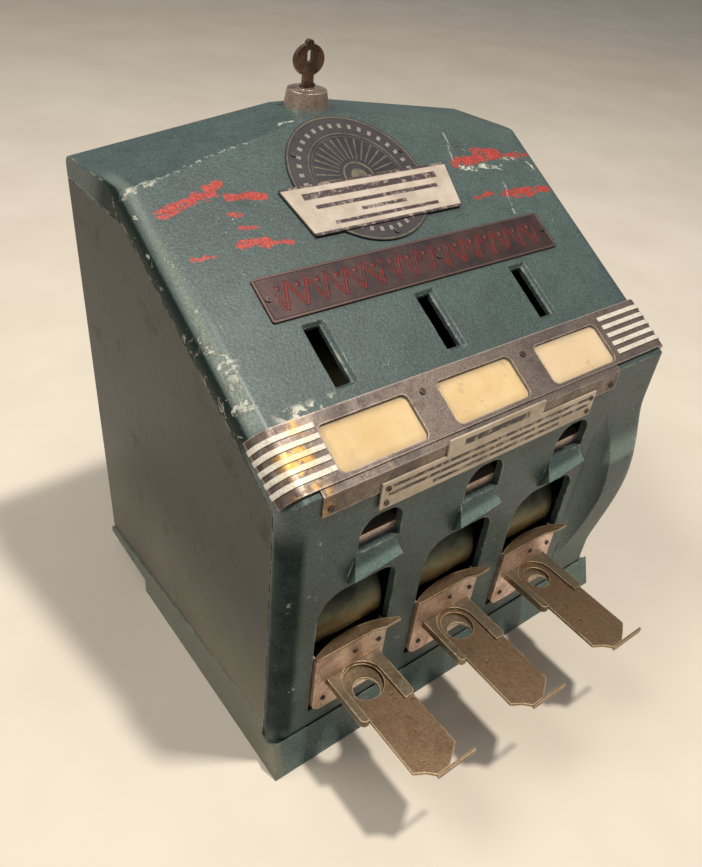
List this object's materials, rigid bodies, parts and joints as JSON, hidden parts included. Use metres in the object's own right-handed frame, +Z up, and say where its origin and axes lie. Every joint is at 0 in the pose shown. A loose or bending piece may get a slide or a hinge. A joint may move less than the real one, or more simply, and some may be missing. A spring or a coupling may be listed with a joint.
{
  "type": "stamp vending machine",
  "caption": "Counter-top coin-operated stamp vending machine: gabled cast cover with sloping panel, push slides, windows and lock, hinged over a case on a flared base.",
  "frame": {"origin": "on the counter plane, under the middle of the case's width and depth", "axes": "+X to the right seen from the front, -Y to the front where the coin slides are, +Z up"},
  "size_m": [0.315, 0.3332, 0.3784],
  "materials": {
    "case_paint": "worn satin",
    "cover_paint": "worn hammered enamel",
    "base_paint": "worn hammered enamel",
    "strip_metal": "worn lacquer",
    "white_enamel": "gloss enamel",
    "card": "matt",
    "pane": "clear",
    "bronze": "worn",
    "nickel": "worn nickel",
    "tan_plate": "worn satin",
    "directions": "worn",
    "name_enamel": "worn enamel",
    "medal_enamel": "worn enamel",
    "banner_enamel": "worn enamel",
    "steel": "satin",
    "lock_metal": "worn nickel",
    "dark_steel": "oiled",
    "roll_paper": "matt",
    "drum_brass": "satin"
  },
  "bodies": {
    "case": {"base_plinth": "base_paint", "case_shell": "case_paint", "lock_strike": "dark_steel", "hinge_ears": "dark_steel", "hinge_pins": "steel", "coin_box": "dark_steel", "roll_stand": "dark_steel", "roll_spindle": "steel"},
    "cover": {"front_cover": "cover_paint", "bezel_strip": "strip_metal", "price_card_1": "card", "price_card_2": "card", "price_card_3": "card", "window_pane_1": "pane", "window_pane_2": "pane", "window_pane_3": "pane", "end_bars": "white_enamel", "strip_screws": "steel", "directions_plate": "directions", "directions_rivets": "steel", "name_plate": "name_enamel", "name_rivets": "steel", "medallion": "medal_enamel", "banner": "banner_enamel", "medallion_rivets": "steel", "lock_housing": "lock_metal", "lock_nut": "steel", "face_plate_1": "tan_plate", "face_plate_2": "tan_plate", "face_plate_3": "tan_plate", "plate_shelf_1": "nickel", "plate_shelf_2": "nickel", "plate_shelf_3": "nickel", "plate_rivets": "steel", "coin_guide_1": "bronze", "coin_guide_2": "bronze", "coin_guide_3": "bronze", "stamp_chute_1": "tan_plate", "stamp_chute_2": "tan_plate", "stamp_chute_3": "tan_plate", "drum_brackets": "steel", "drum_shaft": "steel"},
    "lock": {"lock_plug": "lock_metal", "lock_cam": "steel", "key": "lock_metal"},
    "slide_1": {"coin_slide_1": "nickel", "finger_tab_1": "nickel"},
    "slide_2": {"coin_slide_2": "nickel", "finger_tab_2": "nickel"},
    "slide_3": {"coin_slide_3": "nickel", "finger_tab_3": "nickel"},
    "drum_1": {"feed_drum_1": "drum_brass"},
    "drum_2": {"feed_drum_2": "drum_brass"},
    "drum_3": {"feed_drum_3": "drum_brass"},
    "roll_1": {"stamp_roll_1": "roll_paper"},
    "roll_2": {"stamp_roll_2": "roll_paper"},
    "roll_3": {"stamp_roll_3": "roll_paper"}
  },
  "joints": [
    {"name": "cover_hinge", "type": "hinge", "parent": "case", "child": "cover", "pos_m": [0, -0.1095, 0.03], "axis": [1, 0, 0], "range_deg": [0, 35]},
    {"name": "lock_turn", "type": "hinge", "parent": "cover", "child": "lock", "pos_m": [0, 0.103, 0.34], "axis": [0, 0, 1], "range_deg": [0, 90]},
    {"name": "slide_push_1", "type": "slide", "parent": "cover", "child": "slide_1", "axis": [0, 1, 0], "range_m": [0, 0.044]},
    {"name": "slide_push_2", "type": "slide", "parent": "cover", "child": "slide_2", "axis": [0, 1, 0], "range_m": [0, 0.044]},
    {"name": "slide_push_3", "type": "slide", "parent": "cover", "child": "slide_3", "axis": [0, 1, 0], "range_m": [0, 0.044]},
    {"name": "drum_turn_1", "type": "hinge", "parent": "cover", "child": "drum_1", "pos_m": [-0.101, -0.0814, 0.11], "axis": [1, 0, 0], "range_deg": [-47.7, 0]},
    {"name": "drum_turn_2", "type": "hinge", "parent": "cover", "child": "drum_2", "pos_m": [-0.021, -0.0814, 0.11], "axis": [1, 0, 0], "range_deg": [-47.7, 0]},
    {"name": "drum_turn_3", "type": "hinge", "parent": "cover", "child": "drum_3", "pos_m": [0.059, -0.0814, 0.11], "axis": [1, 0, 0], "range_deg": [-47.7, 0]},
    {"name": "roll_turn_1", "type": "hinge", "parent": "case", "child": "roll_1", "pos_m": [-0.0918, 0.04, 0.15], "axis": [1, 0, 0], "continuous": true},
    {"name": "roll_turn_2", "type": "hinge", "parent": "case", "child": "roll_2", "pos_m": [-0.0118, 0.04, 0.15], "axis": [1, 0, 0], "continuous": true},
    {"name": "roll_turn_3", "type": "hinge", "parent": "case", "child": "roll_3", "pos_m": [0.0682, 0.04, 0.15], "axis": [1, 0, 0], "continuous": true}
  ],
  "couplings": [
    {"joint": "drum_turn_1", "follows": "slide_push_1", "rad_per_m": -18.9},
    {"joint": "drum_turn_2", "follows": "slide_push_2", "rad_per_m": -18.9},
    {"joint": "drum_turn_3", "follows": "slide_push_3", "rad_per_m": -18.9}
  ]
}
